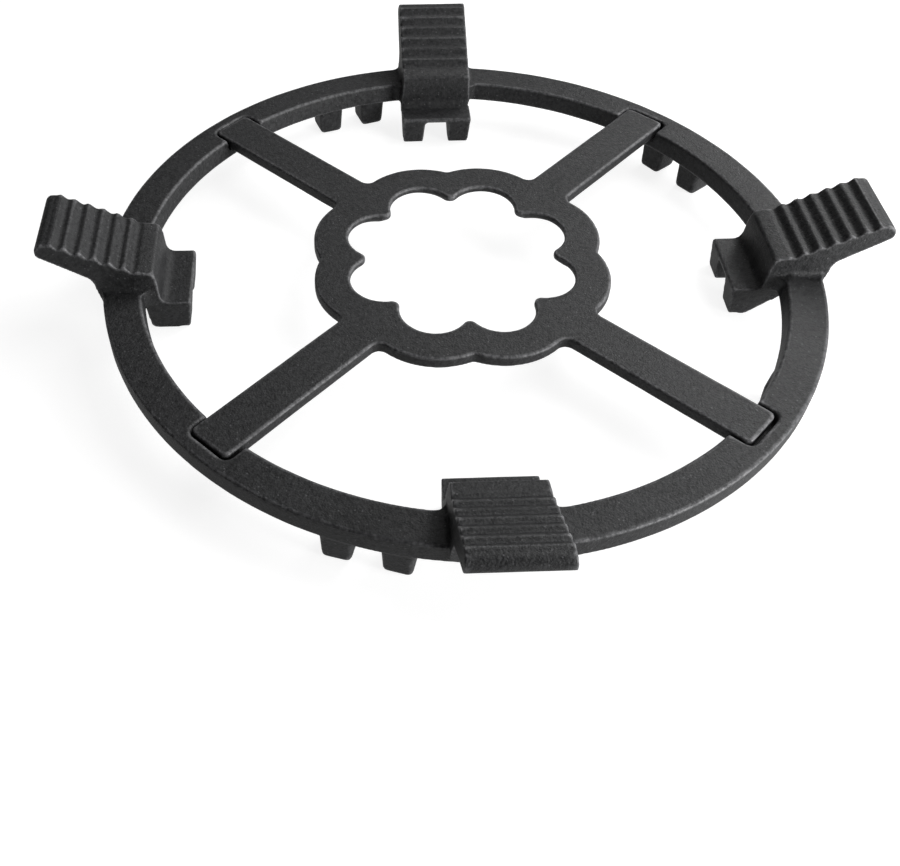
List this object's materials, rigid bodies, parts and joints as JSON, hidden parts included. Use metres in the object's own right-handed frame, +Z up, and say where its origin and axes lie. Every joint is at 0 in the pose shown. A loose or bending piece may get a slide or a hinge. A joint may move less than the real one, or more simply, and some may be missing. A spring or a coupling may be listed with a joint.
{
  "type": "wok ring",
  "caption": "Cast-iron wok ring: round frame with ribbed pads that carry a wok and notched lugs that grip a hob's fingers, plus a loose scalloped trivet for small pots.",
  "frame": {"origin": "centre of the ring at the height of its feet", "axes": "+Z up, the ribbed pads along X and Y, the arms of the loose stand on the diagonals"},
  "size_m": [0.276, 0.276, 0.0363],
  "materials": {
    "ring_iron": "matte, fine cast grain",
    "stand_iron": "matte, fine cast grain"
  },
  "bodies": {
    "root": {"wok_ring": "ring_iron", "pot_stand": "stand_iron"}
  },
  "joints": []
}
